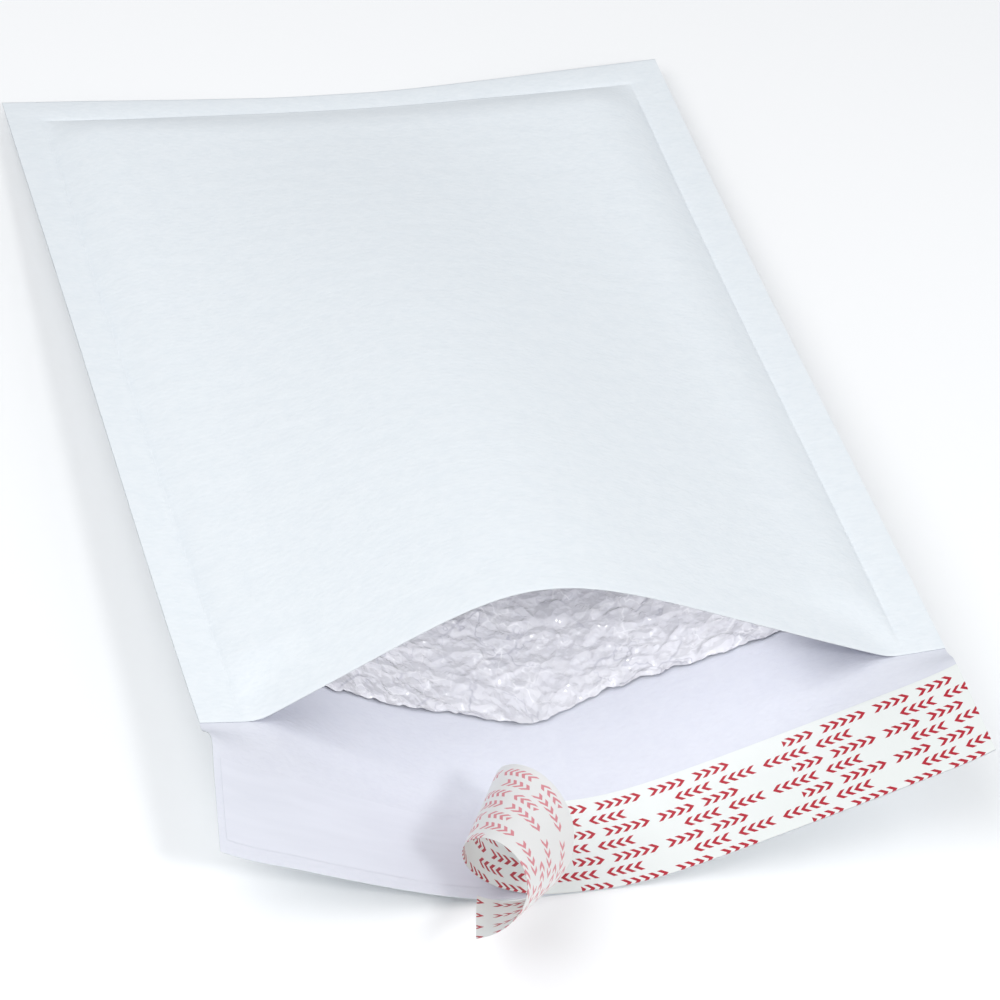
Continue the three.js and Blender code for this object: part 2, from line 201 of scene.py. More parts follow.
def front_table(back):
    u, v = np.meshgrid(ACROSS, ALONG)
    x, z = cross_section(panel_slope(
        u, v, ARCH_LEFT, ARCH_RIGHT, 0.0, ARCH_TURN, FRONT_BLEND, -1))
    left = np.full(len(ALONG), -seal_line)
    right = -left
    stretch = (at(back[..., 0], right) - at(back[..., 0], left)) / (at(x, right) - at(x, left))
    lift_left = at(back[..., 2], left) - at(z, left)
    lift_right = at(back[..., 2], right) - at(z, right)
    share = (u + seal_line) / (2 * seal_line)
    inside = (share > 0) & (share < 1)
    bent_x = at(back[..., 0], left)[:, None] + (x - at(x, left)[:, None]) * stretch[:, None]
    bent_z = z + mix(lift_left[:, None], lift_right[:, None], share)
    x = np.where(inside, bent_x, back[..., 0])
    z = np.where(inside, np.maximum(bent_z, back[..., 2]), back[..., 2])
    return add_distances(x, z)


def read_table(table, u, v):
    across = np.clip((u + half_width) / WIDTH, 0, 1) * (len(ACROSS) - 1)
    along = np.interp(v, ALONG, np.arange(len(ALONG)))
    i = np.minimum(across.astype(int), len(ACROSS) - 2)
    k = np.minimum(along.astype(int), len(ALONG) - 2)
    s = (across - i)[:, None]
    t = (along - k)[:, None]
    near = mix(table[k, i], table[k, i + 1], s)
    far = mix(table[k + 1, i], table[k + 1, i + 1], s)
    return mix(near, far, t)


BACK = back_table()
ARCH = front_table(BACK)
print("bent table", BACK.shape, "mouth height", round(float(ARCH[..., 2].max()), 1), "mm")

# %% Points on the two panels
def rounded(distance):
    return 1 - (1 - np.clip(distance / PILLOW_ROUND, 0, 1)) ** 2


def back_panel(u, v):
    return read_table(BACK, u, v)


def front_panel(u, v):
    """The front panel's underside: the arch, or the pillow of the lining where that is higher."""
    back = back_panel(u, v)
    arch = read_table(ARCH, u, v)
    pillow = PILLOW_HEIGHT * rounded(seal_line - np.abs(u)) * rounded(end_seal_line - v)
    pillow = pillow * ease(v / PILLOW_MOUTH)
    gap = np.maximum(arch[:, 2] - back[:, 2], 0)
    arch[:, 2] = back[:, 2] + np.cbrt(gap ** 3 + pillow ** 3)
    sealed = (np.abs(u) >= seal_line) | (v >= end_seal_line)
    return np.where(sealed[:, None], back, arch)


def normals(panel, u, v, reach=1.0):
    across = panel(u + reach, v) - panel(u - reach, v)
    along = panel(u, np.minimum(v + reach, BODY_LENGTH)) - panel(u, v - reach)
    normal = np.cross(across, along)
    return normal / np.linalg.norm(normal, axis=1, keepdims=True)


def lifted(panel, u, v, lift):
    """Points above a panel's underside, square to it."""
    return panel(u, v) + normals(panel, u, v) * np.reshape(lift, (-1, 1))


# %% [markdown]
# ## The camera
#
# The camera stands where the photographer stood, above the flap and a little to its left, and is
# tipped by a few degrees. It was found by fitting the outline of the sheet to the photograph.

# %% The camera
CAMERA_TURN = math.radians(-18.92)
CAMERA_HEIGHT = math.radians(41.61)
CAMERA_ROLL = math.radians(7.89)
CAMERA_DISTANCE = 1.127
CAMERA_LENS = 140.0
CAMERA_SENSOR = 36.0
CAMERA_AIM = Vector((0.009, -0.022, 0.015))
CAMERA_SLIDE = (-0.01133, 0.0260)


def make_camera():
    away = Vector((math.sin(CAMERA_TURN) * math.cos(CAMERA_HEIGHT),
                   -math.cos(CAMERA_TURN) * math.cos(CAMERA_HEIGHT),
                   math.sin(CAMERA_HEIGHT)))
    level = Vector((math.cos(CAMERA_TURN), math.sin(CAMERA_TURN), 0.0))
    upright = away.cross(level)
    right = level * math.cos(CAMERA_ROLL) + upright * math.sin(CAMERA_ROLL)
    up = upright * math.cos(CAMERA_ROLL) - level * math.sin(CAMERA_ROLL)
    place = CAMERA_AIM + away * CAMERA_DISTANCE
    place -= right * CAMERA_SLIDE[0] + up * CAMERA_SLIDE[1]
    data = bpy.data.cameras.new("camera")
    data.lens = CAMERA_LENS
    data.sensor_width = CAMERA_SENSOR
    camera = bpy.data.objects.new("camera", data)
    bpy.context.scene.collection.objects.link(camera)
    camera.matrix_world = Matrix((
        (right.x, up.x, away.x, place.x),
        (right.y, up.y, away.y, place.y),
        (right.z, up.z, away.z, place.z),
        (0, 0, 0, 1)))
    bpy.context.scene.camera = camera
    return camera


print("camera at", [round(c, 3) for c in make_camera().matrix_world.translation])

# %% [markdown]
# ## From a grid to a bent sheet
#
# `bmesh.ops.create_grid` makes a flat grid with its faces in order. Each of its points is given a
# place on the flat sheet, kept in the UV map, and is then moved to its bent place. A Solidify
# modifier gives the sheet its thickness, and can give its two sides different materials.

# %% Grid helper
LARGE_FACES_FIRST = 100


def bent_sheet(name, u_lines, v_lines, bend):
    """An object from a grid over u_lines and v_lines, each point moved by bend(u, v)."""
    mesh = bpy.data.meshes.new(name)
    bm = bmesh.new()
    layer = bm.loops.layers.uv.new("sheet")
    columns, rows = len(u_lines), len(v_lines)
    bmesh.ops.create_grid(bm, x_segments=columns - 1, y_segments=rows - 1, size=0.5)
    flat = np.array([vert.co[:2] for vert in bm.verts]) + 0.5
    column = np.rint(flat[:, 0] * (columns - 1)).astype(int)
    row = np.rint(flat[:, 1] * (rows - 1)).astype(int)
    u = np.asarray(u_lines)[column]
    v = np.asarray(v_lines)[row]
    points = bend(u, v) * MM
    for vert, point in zip(bm.verts, points):
        vert.co = point
    places = np.stack([u, v], axis=-1) * MM
    for face in bm.faces:
        face.smooth = True
        for loop in face.loops:
            loop[layer].uv = places[loop.vert.index]
    bm.to_mesh(mesh)
    bm.free()
    sheet = bpy.data.objects.new(name, mesh)
    bpy.context.scene.collection.objects.link(sheet)
    print(name, len(mesh.vertices), "points", len(mesh.polygons), "faces")
    return sheet


def thicken(sheet, thickness, offset, other_side=0):
    """offset 0 puts the grid halfway through the thickness, and 1 puts it on the underside."""
    solid = sheet.modifiers.new("thickness", "SOLIDIFY")
    solid.thickness = thickness * MM
    solid.offset = offset
    solid.use_even_offset = False
    solid.material_offset = other_side
    solid.material_offset_rim = other_side
    even = sheet.modifiers.new("flat_to_the_edge", "WEIGHTED_NORMAL")
    even.weight = LARGE_FACES_FIRST


def noise_at(u, v, seed):
    """Smooth noise between -1 and 1, for places already divided by their grain."""
    return np.array([noise.noise((a, b, seed)) for a, b in zip(u, v)])


# %% [markdown]
# ## The paper sheet
#
# On the real envelope the back panel, flap and front panel are one sheet, folded round the far
# end. So it is one grid here: its rows run from the flap's free edge along the back, round the
# fold, and back along the front to the mouth. The rows are close together on the front, because
# the fine cross-wise ripples that show there are real relief. So are the grooves where the seals
# end: they press both layers down alike, as a heated bar does, and a few close lines on each side
# keep them crisp. The margin beyond the far groove swells a little up to the fold.

# %% Rows and columns of the folded sheet
SHEET_SPACING = 2.4
FLAP_ROW = 1.6
BACK_ROW = 4.0
FRONT_ROW = 1.15
FOLD_ROWS = 4
FOLD_REACH = 1.0
SEAM_LINES = np.array([-1.8, -1.1, -0.5, 0.0, 0.5, 1.1, 1.8])
SEAM_CLEAR = 0.5


def lines(low, high, spacing):
    return np.linspace(low, high, max(2, int(round((high - low) / spacing)) + 1))


def lines_with_seams(low, high, spacing, seams):
    """Even lines, with a few close ones at each seam so that its groove is crisp."""
    even = lines(low, high, spacing)
    reach = SEAM_LINES[-1] + SEAM_CLEAR
    near = np.min([np.abs(even - seam) for seam in seams], axis=0) < reach
    close = np.concatenate([seam + SEAM_LINES for seam in seams])
    return np.sort(np.concatenate([even[~near], close]))


# %% Relief of the paper, in millimetres
RIPPLE_HEIGHT = 0.07
RIPPLE_LENGTH = 4.2
RIPPLE_WIDTH = 22.0
RIPPLE_DRIFT = 9.0
BROAD_SHARE = 1.2
BROAD_LENGTH = 13.0
BROAD_WIDTH = 48.0
MARGIN_CALM = 0.4
SEAM_DEPTH = 0.22
SEAM_HALF_WIDTH = 0.65
SEAM_FADE = 8.0
FAR_PUFF = 0.5
FAR_PUFF_SIDE = 20.0
WAVE_HEIGHT = 0.35
WAVE_START = -11.5
WAVE_RISE = 4.0
WAVE_END = LINING_RECESS - 4.0
WAVE_FALL = 6.0
WAVE_SIDE = 12.0
WAVE_SIDE_GAP = 2.0
PAPER_SEEDS = {"drift": 3.0, "fine": 7.0, "broad": 11.0, "waves": 15.0}


def ripples(u, v):
    """Fine cross-wise ripples, which wander along the sheet, over broader ones."""
    along = v + noise_at(u / 55, v / 45, PAPER_SEEDS["drift"]) * RIPPLE_DRIFT
    fine = noise_at(u / RIPPLE_WIDTH, along / RIPPLE_LENGTH, PAPER_SEEDS["fine"])
    broad = noise_at(u / BROAD_WIDTH, along / BROAD_LENGTH, PAPER_SEEDS["broad"])
    return RIPPLE_HEIGHT * (fine + BROAD_SHARE * broad)


def seam_groove(u, v):
    """The pressed line where the seals end. It marks both layers, and fades out at the mouth."""
    outside = np.maximum(np.abs(u) - seal_line, v - end_seal_line)
    return -SEAM_DEPTH * np.exp(-(outside / SEAM_HALF_WIDTH) ** 2) * ease(v / SEAM_FADE)


def far_puff(u, v):
    """The far margin swells slightly between the seal and the fold, and not at its two ends."""
    margin = np.clip((v - end_seal_line) / END_SEAL, 0, 1)
    hump = 4 * margin * (1 - margin)
    return FAR_PUFF * hump * ease((half_width - np.abs(u)) / FAR_PUFF_SIDE)


def flap_waves(u, v):
    """Slow waves of the bare inside paper, between the lining and the liner."""
    bare = ease((v - WAVE_START) / WAVE_RISE) * ease((WAVE_END - v) / WAVE_FALL)
    bare = bare * ease((seal_line - WAVE_SIDE_GAP - np.abs(u)) / WAVE_SIDE)
    waves = noise_at(u / 26 + v / 18, v / 11 - u / 60, PAPER_SEEDS["waves"])
    return WAVE_HEIGHT * bare * waves


# %% The paper sheet
PAPER_DRAWN = 0.9


def fold_paper(u, s):
    """s runs along the back from the flap and, past the fold, on along the front."""
    front = s > BODY_LENGTH
    v = np.where(front, 2 * BODY_LENGTH - s, s)
    middle = PAPER_THICKNESS / 2
    groove = seam_groove(u, v)
    back = lifted(back_panel, u, v, middle + flap_waves(u, v) + groove)
    margin = np.clip((np.abs(u) - seal_line) / SIDE_SEAL, 0, 1)
    relief = ripples(u, v) * (1 - MARGIN_CALM * margin) + groove + far_puff(u, v)
    over = lifted(front_panel, u, v, middle + PAPER_THICKNESS + relief)
    return np.where(front[:, None], over, back)


def make_paper():
    fold_start = BODY_LENGTH - FOLD_REACH
    fold_end = BODY_LENGTH + FOLD_REACH
    front_seam = 2 * BODY_LENGTH - end_seal_line
    rows = np.concatenate([
        lines(-FLAP_DEPTH, 0, FLAP_ROW)[:-1],
        lines(0, fold_start, BACK_ROW)[:-1],
        np.linspace(fold_start, fold_end, FOLD_ROWS),
        lines_with_seams(fold_end, 2 * BODY_LENGTH, FRONT_ROW, [front_seam])[1:],
    ])
    columns = lines_with_seams(-half_width, half_width, SHEET_SPACING, [-seal_line, seal_line])
    paper = bent_sheet("folded_paper_sheet", columns, rows, fold_paper)
    thicken(paper, PAPER_THICKNESS * PAPER_DRAWN, 0.0, other_side=1)
    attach(paper, "root")
    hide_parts("paper_shell")
    return paper


paper = make_paper()

# %% [markdown]
# ## The bubble lining
#
# The lining is thin film with rows of air bubbles that face the pocket. Each wall of the pouch is
# a fine grid, and a height function raises the bubbles out of it: low, flat-topped domes on a
# staggered pattern, dented by noise and crossed by sharper folds. Separate little domes would be
# lighter, but the film is one skin, and its folds run across bubbles and valleys alike. Both walls
# come together halfway at the welds along the sides and the end.

# %% Bubble heights
FILM_LIFT = 0.6
FILM_THICKNESS = 0.1
BUBBLE_PITCH = 11.0
BUBBLE_ROW = BUBBLE_PITCH * math.sqrt(3) / 2
BUBBLE_RADIUS = 5.25
BUBBLE_HEIGHT = 0.5
BUBBLE_TILT = 0.12
BUBBLE_SHIFT = 0.7
BUBBLE_SPREAD = 0.12
DENT_LEVEL = 0.8
DENT_DEPTH = 0.45
FOLD_SHARPNESS = 9.0
FOLD_HEIGHT = 0.5
CRINKLE_HEIGHT = 0.1


def bubble_height(u, v, seed):
    row = np.floor(v / BUBBLE_ROW)
    best = np.zeros(len(u))
    for step in (0, 1):
        centre_v = (row + step) * BUBBLE_ROW
        shift = ((row + step) % 2) * BUBBLE_PITCH / 2
        centre_u = np.rint((u - shift) / BUBBLE_PITCH) * BUBBLE_PITCH + shift
        push_u = noise_at(centre_u / 7, centre_v / 7, seed + 1) * BUBBLE_SHIFT
        push_v = noise_at(centre_u / 7, centre_v / 7, seed + 2) * BUBBLE_SHIFT
        spread = BUBBLE_SPREAD * noise_at(centre_u / 9, centre_v / 9, seed + 3)
        size = BUBBLE_RADIUS * (1 + spread)
        away = np.hypot(u - centre_u - push_u, v - centre_v - push_v) / size
        dome = np.sqrt(np.clip(1 - np.clip(away, 0, 1) ** 5, 0, 1))
        lean = noise_at(centre_u / 5, centre_v / 5, seed + 10) * (u - centre_u)
        lean += noise_at(centre_u / 5, centre_v / 5, seed + 11) * (v - centre_v)
        dome *= 1 + BUBBLE_TILT * lean
        best = np.maximum(best, dome)
    return best


def film_relief(u, v, seed):
    """How far the film stands off the paper, in millimetres."""
    dome = bubble_height(u, v, seed)
    dents = np.clip(DENT_LEVEL + DENT_DEPTH * noise_at(u / 6, v / 5, seed + 4), 0.1, 1)
    folds = 1 - np.abs(noise_at(u / 12 + v / 22, v / 12, seed + 5)) * FOLD_SHARPNESS
    folds = FOLD_HEIGHT * np.clip(folds, 0, 1) ** 2
    crinkle = CRINKLE_HEIGHT * noise_at(u / 2.2, v / 2.2, seed + 6)
    return FILM_LIFT + BUBBLE_HEIGHT * dome * dents + folds + crinkle


# %% The two walls of the pouch
# RAGGED_WAVES holds the length, height and seed step of each wave of the cut edge, and WALLS holds
# each wall's name, panel, side, seed and tongue.
LINING_GAP = 5.0
LINING_EDGE = seal_line - LINING_GAP
LINING_END = end_seal_line - LINING_GAP
WELD_WIDTH = 5.5
FILM_SPACING = 0.8
FILM_ROW = 0.7
FILM_ROW_INSIDE = 2.4
SEEN_DEPTH = 60.0
RAGGED_DEPTH = 12.0
RAGGED_WAVES = ((5.0, 1.1, 8), (19.0, 1.0, 9), (1.9, 0.45, 12))
TONGUE = 7.0
TONGUE_AT = 6.0
TONGUE_WIDTH = 14.0
WALLS = (
    ("lining_back_wall", back_panel, 1, 20.0, TONGUE),
    ("lining_front_wall", front_panel, -1, 50.0, 0.0),
)


def welded(u, v):
    """0 on the walls, 1 on the welds along the sides and the end."""
    side = ease((np.abs(u) - LINING_EDGE + WELD_WIDTH) / WELD_WIDTH)
    end = ease((v - LINING_END + WELD_WIDTH) / WELD_WIDTH)
    return np.maximum(side, end)


def ragged(u, v, seed, tongue):
    """The cut edge of the film isn't straight, and it reaches out most in the trough."""
    near = 1 - np.clip((v - LINING_RECESS) / RAGGED_DEPTH, 0, 1)
    wander = 0
    for length, height, step in RAGGED_WAVES:
        wander = wander + noise_at(u / length, u * 0, seed + step) * height
    return v + near * (wander - tongue * np.exp(-((u + TONGUE_AT) / TONGUE_WIDTH) ** 2))


def wall_points(panel, side, seed, tongue, u, v):
    """One wall of the pouch. side is 1 where its bubbles rise from the panel, or -1."""
    v = ragged(u, v, seed, tongue)
    wall = lifted(panel, u, v, PAPER_THICKNESS + side * film_relief(u, v, seed))
    back = lifted(back_panel, u, v, PAPER_THICKNESS)
    front = lifted(front_panel, u, v, PAPER_THICKNESS)
    return mix(wall, (back + front) / 2, welded(u, v)[:, None])


def make_lining():
    columns = lines(-LINING_EDGE, LINING_EDGE, FILM_SPACING)
    rows = np.concatenate([
        lines(LINING_RECESS, LINING_RECESS + SEEN_DEPTH, FILM_ROW)[:-1],
        lines(LINING_RECESS + SEEN_DEPTH, LINING_END, FILM_ROW_INSIDE),
    ])
    walls = []
    for name, *shape in WALLS:
        wall = bent_sheet(name, columns, rows, partial(wall_points, *shape))
        thicken(wall, FILM_THICKNESS, 0.0)
        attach(wall, "root")
        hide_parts("bubble_lining")
        walls.append(wall)
    return walls


lining = make_lining()

# %% [markdown]
# ## The adhesive band
#
# The glue is a thin, slightly shiny band on the flap. It runs the whole width, and the liner
# still covers its right half.

# %% Adhesive
LINER_WIDTH = 32.0
ADHESIVE_WIDTH = 24.0
ADHESIVE_LIFT = 0.25
ADHESIVE_THICKNESS = 0.05
ADHESIVE_END_GAP = 2.0
ADHESIVE_ROW = 2.0
ADHESIVE_WANDER = 0.5
ADHESIVE_SEED = 61.0
liner_middle = -FLAP_DEPTH + LINER_WIDTH / 2


def lay_adhesive(u, v):
    """The band's two long edges wander slightly, as spread glue does."""
    edge = np.abs(v - liner_middle) / (ADHESIVE_WIDTH / 2)
    wander = noise_at(u / 14, v * 0, ADHESIVE_SEED) * ADHESIVE_WANDER * ease((edge - 0.7) / 0.3)
    return lifted(back_panel, u, v + wander, ADHESIVE_LIFT)


def make_adhesive():
    end = half_width - ADHESIVE_END_GAP
    low = liner_middle - ADHESIVE_WIDTH / 2
    band = bent_sheet("adhesive_band", lines(-end, end, SHEET_SPACING),
                      lines(low, low + ADHESIVE_WIDTH, ADHESIVE_ROW), lay_adhesive)
    thicken(band, ADHESIVE_THICKNESS, 1.0)
    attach(band, "root")
    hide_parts("adhesive_strip")
    return band


adhesive = make_adhesive()

# %% [markdown]
# ## The release liner
#
# A strip of paper can only bend about straight lines across it, and here those lines lean over,
# so the strip rolls up sideways like a corkscrew. The curl is stepped along the strip: each small
# step turns the strip about its own bend line. A place on the strip is then found by the bend
# line that passes through it, which keeps the printed pattern undistorted. Near its end the strip
# bends less and its bend lines still lean, so its tail crosses the curl and hangs past the flap.

# %% The curl, in millimetres and radians
PEEL_AT = -5.0
LINER_LIFT = 0.33
LINER_THICKNESS = 0.16
CURL_RADIUS = {"start": 31.0, "middle": 13.4, "end": 10.9}
CURL_LEAN = math.radians(37.0)
CURL_EASE = 10.0
TAIL_START = 82.0
TAIL_EASE = 32.0
TAIL_STRAIGHTER = 0.54
TAIL_LEAN = math.radians(23.7)
PULL_TAB = 5.0
CURL_STEP = 0.5
LEAN_ROUNDS = 8
LINER_COLUMN = 1.0
LINER_ROW = 1.6
free_length = half_width + PEEL_AT


def turn_about(vector, axis, angle):
    along = axis * np.dot(axis, vector) * (1 - math.cos(angle))
    return vector * math.cos(angle) + np.cross(axis, vector) * math.sin(angle) + along


def curl_frames():
    u = np.array([PEEL_AT])
    v = np.array([liner_middle])
    point = lifted(back_panel, u, v, LINER_LIFT)[0]
    up = normals(back_panel, u, v)[0]
    ahead = (back_panel(u - 1, v) - back_panel(u + 1, v))[0]
    ahead /= np.linalg.norm(ahead)
    across = np.cross(ahead, up)
    steps = int(math.ceil((free_length + PULL_TAB + LINER_WIDTH) / CURL_STEP))
    frames = [np.concatenate([point, ahead, across, up, [0.0]])]
    for i in range(steps):
        t = (i + 0.5) * CURL_STEP / free_length
        tail = float(ease((t * free_length - TAIL_START) / TAIL_EASE))
        lean = CURL_LEAN * 4 * max(t * (1 - t), 0.0) + TAIL_LEAN * tail
        bend = through(1 / CURL_RADIUS["start"], 1 / CURL_RADIUS["middle"],
                       1 / CURL_RADIUS["end"], min(t, 1.0))
        bend *= float(ease(t * free_length / CURL_EASE)) * (1 - TAIL_STRAIGHTER * tail)
        axis = across * math.cos(lean) - ahead * math.sin(lean)
        angle = bend * CURL_STEP * math.cos(lean)
        point = point + ahead * CURL_STEP / 2
        ahead, across, up = (turn_about(way, axis, angle) for way in (ahead, across, up))
        point = point + ahead * CURL_STEP / 2
        frames.append(np.concatenate([point, ahead, across, up, [lean]]))
    return np.array(frames)


CURL = curl_frames()


def curl_point(m, w):
    """A place on the peeled strip: m along it from the peel line, w across it."""
    stations = np.arange(len(CURL)) * CURL_STEP
    s = m.copy()
    for _ in range(LEAN_ROUNDS):
        lean = np.interp(s, stations, CURL[:, 12])
        s = m + w * np.tan(lean)
    read = np.stack([np.interp(s, stations, column) for column in CURL.T], axis=-1)
    lean = read[:, 12:13]
    line = read[:, 6:9] * np.cos(lean) - read[:, 3:6] * np.sin(lean)
    return read[:, 0:3] + line * (w[:, None] / np.cos(lean))


def lay_liner(u, v):
    flat = lifted(back_panel, u, v, LINER_LIFT)
    peeled = curl_point(np.maximum(PEEL_AT - u, 0), v - liner_middle)
    return np.where((u > PEEL_AT)[:, None], flat, peeled)


def make_liner():
    columns = lines(-half_width - PULL_TAB, half_width, LINER_COLUMN)
    rows = lines(-FLAP_DEPTH, -FLAP_DEPTH + LINER_WIDTH, LINER_ROW)
    strip = bent_sheet("peeled_release_liner", columns, rows, lay_liner)
    thicken(strip, LINER_THICKNESS, 1.0, other_side=1)
    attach(strip, "root")
    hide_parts("release_liner")
    return strip


liner = make_liner()

# %% [markdown]
# ## Materials
#
# Everything is white or nearly so, and what tells the pieces apart is small: the outside of the
# paper is a cool white with fibre mottling, and its inside is the same paper in a darker, lilac
# colour that is painted shade. The film is grey and shiny, and the liner is a clean white with red
# print. Patterns read the UV map, in metres on the flat sheet, so they follow the paper round its
# bends.

# %% Node helpers
def new_material(name):
    material = bpy.data.materials.new(name)
    material.use_nodes = True
    nodes = material.node_tree.nodes
    shader = nodes["Principled BSDF"]
    return material, material.node_tree, shader


def math_node(tree, operation, a, b=None, c=None):
    node = tree.nodes.new("ShaderNodeMath")
    node.operation = operation
    for socket, value in zip(node.inputs, (a, b, c)):
        if value is None:
            continue
        if isinstance(value, (int, float)):
            socket.default_value = value
        else:
            tree.links.new(value, socket)
    return node.outputs[0]


def noise_node(tree, places, scale, detail=3.0, roughness=0.5, stretch=None):
    if stretch is not None:
        turn = tree.nodes.new("ShaderNodeMapping")
        turn.inputs["Scale"].default_value = stretch
        tree.links.new(places, turn.inputs["Vector"])
        places = turn.outputs["Vector"]
    node = tree.nodes.new("ShaderNodeTexNoise")
    node.noise_dimensions = "2D"
    node.inputs["Scale"].default_value = scale
    node.inputs["Detail"].default_value = detail
    node.inputs["Roughness"].default_value = roughness
    tree.links.new(places, node.inputs["Vector"])
    return node.outputs["Fac"]


def ramp(tree, value, low, high, low_colour, high_colour):
    node = tree.nodes.new("ShaderNodeValToRGB")
    node.color_ramp.elements[0].position = low
    node.color_ramp.elements[0].color = (*low_colour, 1)
    node.color_ramp.elements[1].position = high
    node.color_ramp.elements[1].color = (*high_colour, 1)
    tree.links.new(value, node.inputs["Fac"])
    return node.outputs["Color"]


def mixed(tree, mask, under, over):
    """under where the mask is 0, and over where it is 1. Each is a socket or a plain colour."""
    blend = tree.nodes.new("ShaderNodeMix")
    blend.data_type = "RGBA"
    tree.links.new(mask, blend.inputs["Factor"])
    for socket, colour in zip((blend.inputs["A"], blend.inputs["B"]), (under, over)):
        if isinstance(colour, tuple):
            socket.default_value = (*colour, 1)
        else:
            tree.links.new(colour, socket)
    return blend.outputs["Result"]


def bump(tree, shader, height, strength, distance, layer="Normal"):
    node = tree.nodes.new("ShaderNodeBump")
    node.inputs["Strength"].default_value = strength
    node.inputs["Distance"].default_value = distance
    tree.links.new(height, node.inputs["Height"])
    tree.links.new(node.outputs["Normal"], shader.inputs[layer])


def sheet_places(tree):
    node = tree.nodes.new("ShaderNodeUVMap")
    node.uv_map = "sheet"
    return node.outputs["UV"]


# %% [markdown]
# ### Paper, outside and inside
#
# Kraft paper is cloudy close up: short fibres lie mostly one way, and the sheet is slightly
# thicker and thinner from place to place. Two noises give the cloud and the fibres, in colour
# and, more weakly, in relief.

# %% Paper materials
CLOUD_SCALE = 190
CLOUD_STRETCH = (0.85, 1.0, 1.0)
FIBRE_SCALE = 900
FIBRE_STRETCH = (0.5, 1.0, 1.0)
FIBRE_SHARE = 0.4
# The inside is the same white paper as the outside. Its darker, lilac colours are painted shade.
INSIDE_PAINTED_SHADE = {"light": (0.72, 0.735, 0.80), "dark": (0.70, 0.715, 0.785), "roughness": 0.7}
OUTSIDE = {"light": (0.83, 0.87, 0.90), "dark": (0.80, 0.845, 0.88), "roughness": 0.85}


def paper_material(name, light, dark, roughness):
    material, tree, shader = new_material(name)
    places = sheet_places(tree)
    cloud = noise_node(tree, places, CLOUD_SCALE, roughness=0.65, stretch=CLOUD_STRETCH)
    fibre = noise_node(tree, places, FIBRE_SCALE, detail=1.0, stretch=FIBRE_STRETCH)
    cloud = math_node(tree, "MULTIPLY", cloud, 1 - FIBRE_SHARE)
    together = math_node(tree, "MULTIPLY_ADD", fibre, FIBRE_SHARE, cloud)
    colour = ramp(tree, together, 0.35, 0.62, dark, light)
    tree.links.new(colour, shader.inputs["Base Color"])
    shader.inputs["Roughness"].default_value = roughness
    shader.inputs["Specular IOR Level"].default_value = 0.25
    bump(tree, shader, together, 0.5, 0.0005)
    return material


# The inside copy of the paper is darker and lilac, which is painted shade.
paper.data.materials.append(paper_material("paper_inside_painted_shade", **INSIDE_PAINTED_SHADE))
paper.data.materials.append(paper_material("paper_outside", **OUTSIDE))

# %% [markdown]
# ### Bubble film
#
# The film is thin and clear, but crumpled over white paper it reads as a pale grey-lilac skin
# with hard little glints. The skin itself is fairly dull. The glints come from a clear coat over
# it, which is smooth and follows a crumple bump much more strongly than the skin does, and from
# painted highlights. Two sets of thin broken lines run along the folds across the film: the darker
# set is painted shade in the creases, and the lighter set is partly whitened film and partly
# painted highlights.

# %% Film material, with lengths in metres
LARGE_CRUMPLE = 0.006
SMALL_CRUMPLE = 0.0024
SMALL_SHARE = 0.3
FOLD_WIDTH = 0.0006
# The darker fold lines are painted shade in the creases.
CREASE_SHADE_SIZE = 0.0115
PAINTED_CREASE_SHADE = (0.60, 0.60, 0.66)
# The lighter fold lines are partly whitened film and partly painted highlights.
FOLD_HIGHLIGHT_SIZE = 0.0085
WHITENED_FOLD_AND_PAINTED_HIGHLIGHT = (0.97, 0.97, 1.0)
HAZE_SCALE = 150
HAZE_DARK = (0.785, 0.785, 0.83)
HAZE_LIGHT = (0.825, 0.825, 0.86)


def moved_cells(tree, places, size, feature, shift, reach):
    """Distances in cells about size metres across, after shift moves their places by reach."""
    moved = tree.nodes.new("ShaderNodeVectorMath")
    moved.operation = "MULTIPLY_ADD"
    moved.inputs[1].default_value = (reach, reach, reach)
    tree.links.new(shift, moved.inputs[0])
    tree.links.new(places, moved.inputs[2])
    cells = tree.nodes.new("ShaderNodeTexVoronoi")
    cells.feature = feature
    cells.voronoi_dimensions = "2D"
    cells.inputs["Scale"].default_value = 1 / size
    tree.links.new(moved.outputs[0], cells.inputs["Vector"])
    return cells.outputs["Distance"]


def facets(tree, places, size):
    """Height of crumpled film: small facets that meet in sharp creases."""
    shift = noise_node(tree, places, 0.6 / size, detail=2.0)
    return moved_cells(tree, places, size, "F1", shift, size)


def fold_lines(tree, places, size):
    """1 on thin folds of the film, and 0 between them. Noise bends and breaks the lines."""
    shift = noise_node(tree, places, 1.2 / size, detail=3.0)
    edge = moved_cells(tree, places, size, "DISTANCE_TO_EDGE", shift, 1.4 * size)
    share = math_node(tree, "DIVIDE", edge, FOLD_WIDTH / size)
    line = math_node(tree, "MAXIMUM", math_node(tree, "SUBTRACT", 1.0, share), 0.0)
    patches = noise_node(tree, places, 0.7 / size, detail=2.0)
    there = math_node(tree, "MULTIPLY", math_node(tree, "SUBTRACT", patches, 0.42), 6.0)
    there = math_node(tree, "MINIMUM", math_node(tree, "MAXIMUM", there, 0.0), 1.0)
    return math_node(tree, "MULTIPLY", line, there)


